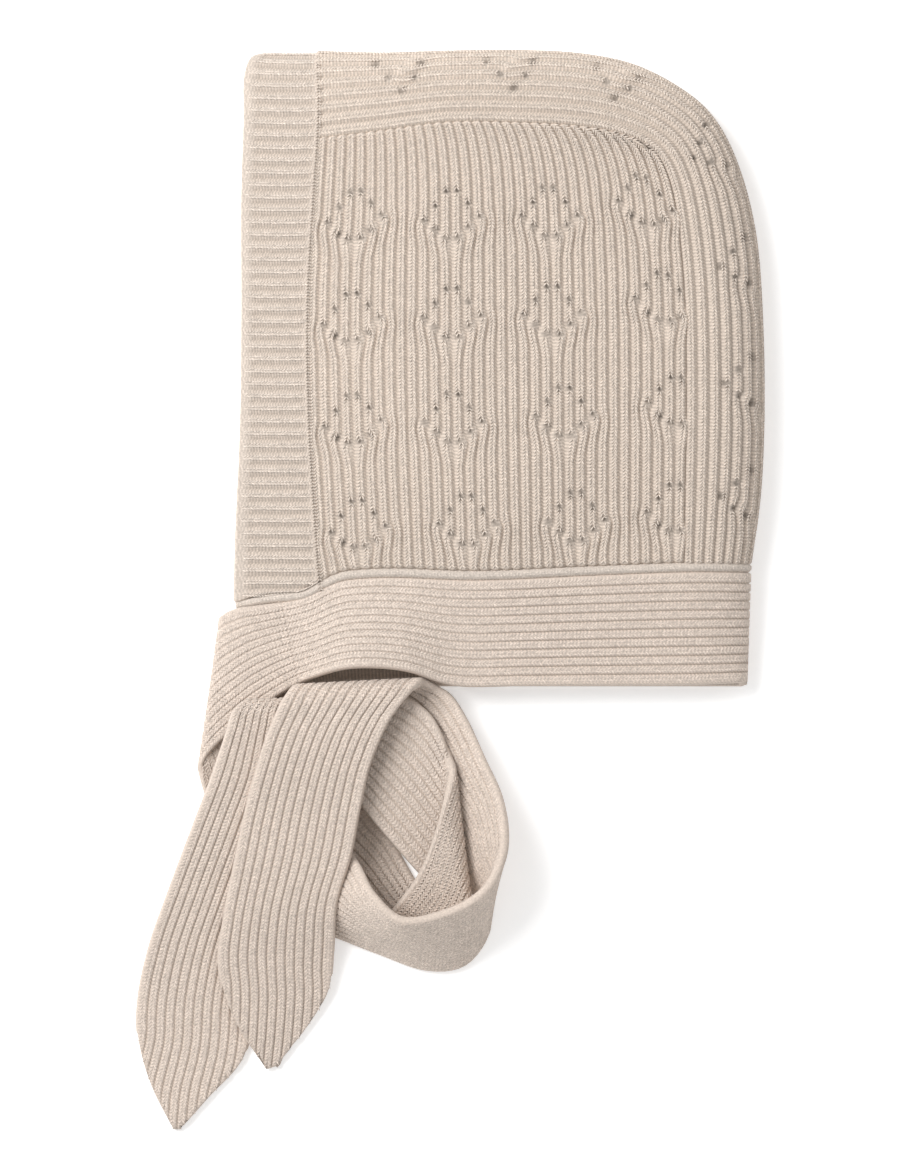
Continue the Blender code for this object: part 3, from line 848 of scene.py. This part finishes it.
def stitch_tree():
    """Lays the two slanting legs of a V on every point."""
    tree, nodes, given = knit_tree("stitches", (
        ("Leg width", "Float", 0.58), ("Leg length", "Float", 0.44), ("Leg height", "Float", 0.21),
        ("Spread", "Float", 0.15), ("Lean", "Float", 0.68), ("Wobble", "Float", 0.30), ("Seed", "Int", 3),
        ("Material", "Material", None),
    ))
    ball = nodes.add("GeometryNodeMeshUVSphere", Segments=4, Rings=3, Radius=0.5)
    leg = nodes.add("GeometryNodeTransform", Geometry=ball, Rotation=(math.pi / 2, math.pi / 4, 0.0))
    smooth = nodes.add("GeometryNodeSetShadeSmooth", Geometry=leg)
    size = nodes.add("ShaderNodeSeparateXYZ", Vector=named(nodes, "size", "FLOAT_VECTOR"))
    width = Value(nodes, size.outputs[1]) * given["Leg width"]
    length = Value(nodes, size.outputs[0]) * given["Leg length"]
    height = Value(nodes, size.outputs[2]) * given["Leg height"]
    scale = nodes.add("ShaderNodeCombineXYZ", X=width, Y=length, Z=height)
    upright = nodes.add("FunctionNodeAlignRotationToVector", {"axis": "Z"},
                        Vector=named(nodes, "face", "FLOAT_VECTOR"))
    turned = nodes.add("FunctionNodeAlignRotationToVector", {"axis": "Y", "pivot_axis": "Z"},
                       Rotation=upright, Vector=named(nodes, "way", "FLOAT_VECTOR"))
    sides = nodes.add("GeometryNodeJoinGeometry")
    for side in (-1, 1):
        laid = nodes.add("GeometryNodeInstanceOnPoints", Points=given["Geometry"], Instance=smooth,
                         Rotation=turned, Scale=scale)
        apart = nodes.add("ShaderNodeCombineXYZ",
                          X=Value(nodes, size.outputs[0]) * given["Spread"] * float(side) / width)
        moved = nodes.add("GeometryNodeTranslateInstances", Instances=laid, Translation=apart,
                          Local_Space=True)
        wobble = nodes.add("FunctionNodeRandomValue", {"data_type": "FLOAT"},
                           i2=Value(nodes, given["Wobble"]) * -1.0, i3=given["Wobble"],
                           Seed=Value(nodes, given["Seed"]) + float(side))
        lean = Value(nodes, given["Lean"]) * -float(side) + wobble.outputs[1]
        leaning = nodes.add("ShaderNodeCombineXYZ", Z=lean)
        sides_in = nodes.add("GeometryNodeRotateInstances", Instances=moved, Rotation=leaning,
                             Local_Space=True)
        tree.links.new(sides_in.outputs[0], sides.inputs[0])
    tone = nodes.add("FunctionNodeRandomValue", {"data_type": "FLOAT"}, i2=0.0, i3=1.0, Seed=given["Seed"])
    toned = nodes.add("GeometryNodeStoreNamedAttribute", {"data_type": "FLOAT", "domain": "INSTANCE"},
                      Geometry=sides, Name="tone", Value=tone.outputs[1])
    end_tree(nodes, toned, given["Material"])
    return tree


def grown(name, mesh, tree, **inputs):
    """A plain mesh object made from a mesh by a tree with these inputs."""
    holder = bpy.data.objects.new(name + "_holder", mesh)
    bpy.context.scene.collection.objects.link(holder)
    modifier = holder.modifiers.new("tree", "NODES")
    modifier.node_group = tree
    for item in tree.interface.items_tree:
        key = item.name.replace(" ", "_")
        if item.in_out == "INPUT" and key in inputs:
            modifier[item.identifier] = inputs[key]
    bpy.context.view_layer.update()
    evaluated = holder.evaluated_get(bpy.context.evaluated_depsgraph_get())
    made = bpy.data.meshes.new_from_object(evaluated)
    made.name = name
    bpy.data.objects.remove(holder)
    piece = bpy.data.objects.new(name, made)
    bpy.context.scene.collection.objects.link(piece)
    return piece


def wool(name, ridge, groove):
    """Fuzzy, slightly marled wool: light ridges, with painted shade in the darker grooves and the dark
    eyelets.
    """
    material = bpy.data.materials.new(name)
    material.use_nodes = True
    tree = material.node_tree
    nodes = Nodes(tree)
    shader = tree.nodes["Principled BSDF"]
    where = nodes.add("ShaderNodeTexCoord").outputs["Object"]

    def noise(scale, detail, roughness=0.5):
        node = nodes.add("ShaderNodeTexNoise", {}, Vector=where, Scale=scale, Detail=detail,
                         Roughness=roughness)
        return Value(nodes, node.outputs[0])

    def attribute(label):
        return Value(nodes, nodes.add("ShaderNodeAttribute", {"attribute_name": label}).outputs["Fac"])

    stitched = attribute("stitched")
    # Painted shade: the sheet under and between the stitch legs is coloured only part way to the ridge
    # colour, so the gaps read dark; stitches take the full ridge colour
    light = (attribute("height") * painted_light_under_stitches).math("MAXIMUM", stitched)
    fibres, marl, patches = noise(3400.0, 2.0), noise(1500.0, 2.0), noise(38.0, 2.0)
    # Painted light and shade of the purl bumps: staggered light and dark spots along the grooves, one pair
    # per row of stitches
    painted_purl_shading = (attribute("course") * (2 * math.pi)).math("COSINE") * (1.0 - light) * marl * 2.0
    shade = (1.0 + (fibres - 0.5) * 0.40 + (marl - 0.5) * 0.62 + (patches - 0.5) * 0.08
             + (attribute("tone") - 0.5) * stitched * 0.32 + painted_purl_shading * 0.20)
    # Painted shade: the eyelets are coloured darker, for the shade down in the holes
    shade = shade * (1.0 - attribute("hole") * 0.68)
    # Painted shade: the low places of each rib take the darker groove colour, mixed by the ribs' height, for
    # the shade down in the grooves
    base = nodes.add("ShaderNodeMix", {"data_type": "RGBA"}, i0=light, i6=(*groove, 1.0), i7=(*ridge, 1.0))
    tinted = nodes.add("ShaderNodeVectorMath", {"operation": "SCALE"}, i0=base.outputs[2], Scale=shade)
    nodes.give(shader, "Base Color", tinted)
    bumps = fibres * 0.6 + marl * 0.4
    bump = nodes.add("ShaderNodeBump", Strength=0.8, Distance=0.0004, Height=bumps)
    nodes.give(shader, "Normal", bump)
    shader.inputs["Roughness"].default_value = 0.92
    shader.inputs["Specular IOR Level"].default_value = 0.2
    shader.inputs["Sheen Weight"].default_value = 0.25
    shader.inputs["Sheen Roughness"].default_value = 0.55
    shader.inputs["Sheen Tint"].default_value = (1.0, 0.96, 0.90, 1.0)
    return material


def mark_stitched(piece, light=1.0):
    """Tells the wool that a piece is stitches, and how light they are; under 1 they are coloured darker, as
    painted shade.
    """
    attribute = piece.data.attributes.new("stitched", "FLOAT", "POINT")
    attribute.data.foreach_set("value", np.full(len(piece.data.vertices), light, np.float32))


def settle(piece):
    """Moves a finished mesh to its place over the middle of the whole bonnet."""
    for vertex in piece.data.vertices:
        vertex.co.x -= middle_of_bonnet[0]
        vertex.co.y -= middle_of_bonnet[1]
    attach(piece, "root")
    return piece


def knit(name, grid, normals, wall, pitch, relief, ridge, material,
         place=None, keep=None, sides=("_stitches",), middle=False, holes=None, steps_back=(4, 3),
         raised=None, look=None):
    """A sheet with its ribs, and the stitches on the side that shows."""
    place = grid if place is None else place
    keep = np.ones(grid.shape[:2], bool) if keep is None else keep
    if holes is not None:
        keep = keep & (holes < 0.4)
    mesh = knit_mesh(name, place, normals, wall, middle, steps_back, holes, raised)
    sheet = grown(name + "_knit", mesh, ribs, Relief=relief, Ridge=ridge, Eyelet_depth=eyelet_depth,
                  Material=material)
    half = wall / 2 if middle else 0.0
    crests = np.arange(RIB_POINTS.index(0.5), grid.shape[1], len(RIB_POINTS))
    spacing = strip_stitch if middle else stitch_length
    pieces = []
    shape = STRIP_STITCHES if middle else (look or {})
    for label, facing, seed in (("_stitches", normals, 3), ("_back_stitches", -normals, 9)):
        if label in sides:
            lift = half + relief * stitch_lift
            points = stitch_points(name, place, facing, lift, keep, pitch, crests, spacing)
            pieces.append(grown(name + label, points, stitches, Seed=seed, Material=material, **shape))
    for piece in pieces:
        mark_stitched(piece)
        settle(piece)
    settle(sheet)
    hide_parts(name)
    return sheet


def make_edge(material):
    """The rolled edge: a soft cord with three rows of slanting stitches."""
    line = edge_line(200)
    shares = over_fold(900)
    along = line[-1, 0] - np.abs(shares) * (line[-1, 0] - line[0, 0])
    centre = lie(along, edge_up(along), line[-1, 0] - along, shares > 0)
    count = round(travelled(centre)[-1] / stitch_length)
    centre = evenly(centre, count)
    way = np.gradient(centre, axis=0)
    way /= np.linalg.norm(way, axis=1, keepdims=True)
    side = np.array([0.0, 1.0, 0.0]) - way * way[:, 1:2]
    side /= np.linalg.norm(side, axis=1, keepdims=True)
    out = np.cross(side, way)
    out *= np.sign(out[0, 2])
    middle = centre + out * (edge_proud - edge_height / 2)
    angles = 2 * math.pi * np.arange(16) / 16
    ring = (middle[:, None] + side[:, None] * np.cos(angles)[None, :, None] * edge_width / 2
            + out[:, None] * np.sin(angles)[None, :, None] * edge_height / 2)
    body = bmesh.new()
    rings = [[body.verts.new((x, y, max(z, 0.0))) for x, y, z in row] for row in ring]
    for first, second in zip(rings, rings[1:]):
        for corner in range(16):
            after = (corner + 1) % 16
            body.faces.new((first[corner], first[after], second[after], second[corner]))
    body.faces.new(rings[0])
    body.faces.new(rings[-1])
    bmesh.ops.recalc_face_normals(body, faces=body.faces)
    mesh = bpy.data.meshes.new("neck_edge")
    body.to_mesh(mesh)
    body.free()
    mesh.shade_smooth()
    mesh.materials.append(material)
    piece = bpy.data.objects.new("neck_edge_cord", mesh)
    bpy.context.scene.collection.objects.link(piece)
    mark_stitched(piece)
    outwards = side[:, None] * np.cos(angles)[None, :, None] + out[:, None] * np.sin(angles)[None, :, None]
    everywhere = np.ones(ring.shape[:2], bool)
    points = stitch_points("edge", ring, outwards, -edge_stitch_sink, everywhere, edge_stitch_width,
                           [1, 4, 7])
    chain = grown("neck_edge_stitches", points, stitches, Material=material, Leg_height=0.35)
    mark_stitched(chain)
    settle(chain)
    settle(piece)
    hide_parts("neck_edge")


def make_seam(material):
    """The chain of stitches along the front band's seam, coloured darker as painted shade along the seam."""
    band = smooth_line(table(BAND, bonnet_height, bonnet_depth, bonnet_depth), 400)
    up, along = band[:, 0], band[:, 2]
    line = lie(along, up, up[0] - up, np.ones(len(up), bool))
    line = evenly(line[:-12], round(travelled(line[:-12])[-1] / stitch_length))
    normals = np.tile((0.0, 0.0, 1.0), (len(line), 1))
    everywhere = np.ones((len(line), 1), bool)
    points = stitch_points("seam", line[:, None], normals[:, None], seam_stitch_lift, everywhere,
                           seam_stitch_width, [0])
    chain = grown("front_seam_stitches", points, stitches, Material=material, Leg_width=0.55, Leg_height=0.3,
                  Leg_length=0.32, Spread=0.11, Lean=0.95)
    # Painted shade: the chain takes only 0.55 of a stitch's lightness, for the dark line along the seam
    mark_stitched(chain, 0.55)
    settle(chain)


def make_sides(panel):
    """The two sides of the head, the near one with its leaves and stitches."""
    for near in (True, False):
        grid, eyelets = side_grid(near, side_ribs, 133 if near else 34)
        knit("side_panel_near" if near else "side_panel_far", grid, normals_of(grid, 1 if near else -1),
             panel_wall, side_pitch, panel_relief, panel_ridge, panel,
             holes=side_holes(grid, eyelets) if near else None,
             steps_back=(4, 3) if near else (3, 3), sides=("_stitches",) if near else ())


def make_crown(panel):
    """The centre panel, folded over the crown, with its own halved leaves."""
    grid, depth = crown_grid(crown_ribs, 235)
    knit("centre_panel", grid, normals_of(grid, 1), panel_wall, crown_pitch, panel_relief, panel_ridge, panel,
         holes=depth)


def make_band(band):
    """The front band, its ribs fading out at both of its edges."""
    grid = band_grid(band_ribs, 25)
    from_face = np.arange(len(grid))[:, None] * np.ones(grid.shape[1])
    from_seam = len(grid) - 1.5 - from_face
    raised = np.clip((from_face - 1.5) / 2.5, 0, 1) * np.clip(from_seam / 1.5, 0, 1)
    knit("front_band", grid, normals_of(grid, 1), panel_wall, band_pitch, panel_relief * 0.8, band_ridge,
         band, raised=raised,
         keep=(from_face > 1.2) & (from_seam > 0), look=BAND_STITCHES)


def make_strips(strip):
    """The neckband and the two ties, all knitted as one strip."""
    near_tie, neck, far_tie = long_strip()
    pitch = strip_width / strip_ribs
    grid, place, keep = strip_grid(neck, strip_ribs)
    smooth_sides = np.minimum(np.arange(grid.shape[1]), np.arange(grid.shape[1])[::-1]) > 2
    knit("neckband", grid, normals_of(grid, 1), strip_wall, pitch, strip_relief, strip_ridge, strip,
         place=place, keep=keep, middle=True,
         raised=(1.0 - worn_start(grid)) * smooth_sides)
    for name, near, sections in (("tie_near", True, near_tie), ("tie_far", False, far_tie)):
        grid, place, keep = strip_grid(sections, strip_ribs, point_length)
        felted = np.maximum(felting(grid), worn_start(grid)) if near else np.zeros(grid.shape[:2])
        knit(name, grid, normals_of(grid, 1 if near else -1), strip_wall, pitch, strip_relief, strip_ridge,
             strip,
             place=place, keep=keep, sides=("_stitches", "_back_stitches"), middle=True, steps_back=(2, 1),
             raised=(1.0 - felted) * smooth_sides)


def make_bonnet():
    """All the knitted pieces, each in its wool."""
    # One yarn in three wools: the ridge colours nearly match, and each darker groove colour is painted shade,
    # deepest on the band and lightest on the strips
    panel = wool("panel_wool", (0.700, 0.610, 0.532), (0.550, 0.467, 0.397))
    band = wool("band_wool", (0.690, 0.606, 0.534), (0.480, 0.408, 0.348))
    strip = wool("strip_wool", (0.700, 0.603, 0.530), (0.575, 0.480, 0.407))
    make_sides(panel)
    make_crown(panel)
    make_band(band)
    make_strips(strip)
    make_edge(band)
    make_seam(band)


def make_stage():
    """A pale floor, soft light from the upper left and a camera straight above."""
    floor = bpy.data.meshes.new("floor")
    floor.from_pydata([(-3, -3, 0), (3, -3, 0), (3, 3, 0), (-3, 3, 0)], [], [(0, 1, 2, 3)])
    ground = bpy.data.objects.new("floor", floor)
    paper = bpy.data.materials.new("paper")
    paper.use_nodes = True
    shader = paper.node_tree.nodes["Principled BSDF"]
    shader.inputs["Base Color"].default_value = (0.93, 0.93, 0.93, 1.0)
    shader.inputs["Roughness"].default_value = 1.0
    shader.inputs["Emission Color"].default_value = (1.0, 1.0, 1.0, 1.0)
    shader.inputs["Emission Strength"].default_value = 0.32
    floor.materials.append(paper)
    bpy.context.scene.collection.objects.link(ground)
    ground.location.z = -0.0002
    world = bpy.data.worlds.new("studio")
    world.use_nodes = True
    world.node_tree.nodes["Background"].inputs["Color"].default_value = (1.0, 1.0, 1.0, 1.0)
    world.node_tree.nodes["Background"].inputs["Strength"].default_value = 0.61
    bpy.context.scene.world = world
    lamp = bpy.data.lights.new("window", "AREA")
    lamp.energy, lamp.size = 16.5, 0.7
    light = bpy.data.objects.new("window", lamp)
    light.location = (-0.72, 0.52, 1.00)
    light.rotation_euler = (-light.location).to_track_quat("-Z", "Y").to_euler()
    bpy.context.scene.collection.objects.link(light)
    camera = bpy.data.cameras.new("camera")
    camera.sensor_width = 36.0
    camera.lens = 36.0 * 2.2 / 0.3646
    eye = bpy.data.objects.new("camera", camera)
    eye.location = (0.0, 0.0008, 2.2)
    bpy.context.scene.collection.objects.link(eye)
    bpy.context.scene.camera = eye
    camera.clip_start, camera.clip_end = 0.1, 20.0
    bpy.context.scene.view_settings.view_transform = "Standard"


make_stage()
ribs = rib_tree()
stitches = stitch_tree()
make_bonnet()
